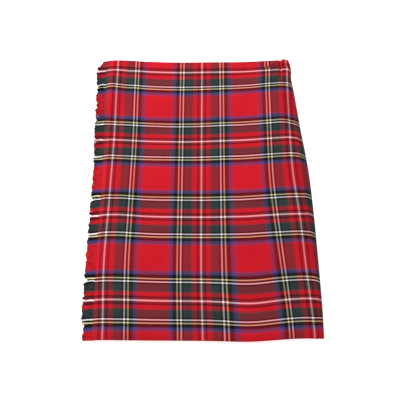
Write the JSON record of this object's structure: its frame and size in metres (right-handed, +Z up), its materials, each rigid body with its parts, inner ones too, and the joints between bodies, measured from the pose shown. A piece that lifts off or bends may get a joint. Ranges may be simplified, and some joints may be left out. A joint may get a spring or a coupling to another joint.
{
  "type": "kilt",
  "caption": "Knee-length Scottish kilt in red, green, navy and white tartan, laid flat with its fringed over apron up and a self-cloth waistband.",
  "frame": {"origin": "centre of the kilt's outline on the surface it lies on", "axes": "+Z up off the surface, +Y towards the waist, -Y towards the hem, +X towards the side away from the fringed edge"},
  "size_m": [0.4222, 0.6108, 0.0205],
  "materials": {
    "tartan_face": "matt worsted twill",
    "tartan_back": "matt worsted twill",
    "loose_threads": "loose wool thread"
  },
  "bodies": {
    "root": {"over_apron": "tartan_face", "under_apron": "tartan_back", "pleated_back": "tartan_back", "apron_fringe": "loose_threads", "waistband_over": "tartan_face", "waistband_under": "tartan_back", "waistband_back": "tartan_back"}
  },
  "joints": []
}
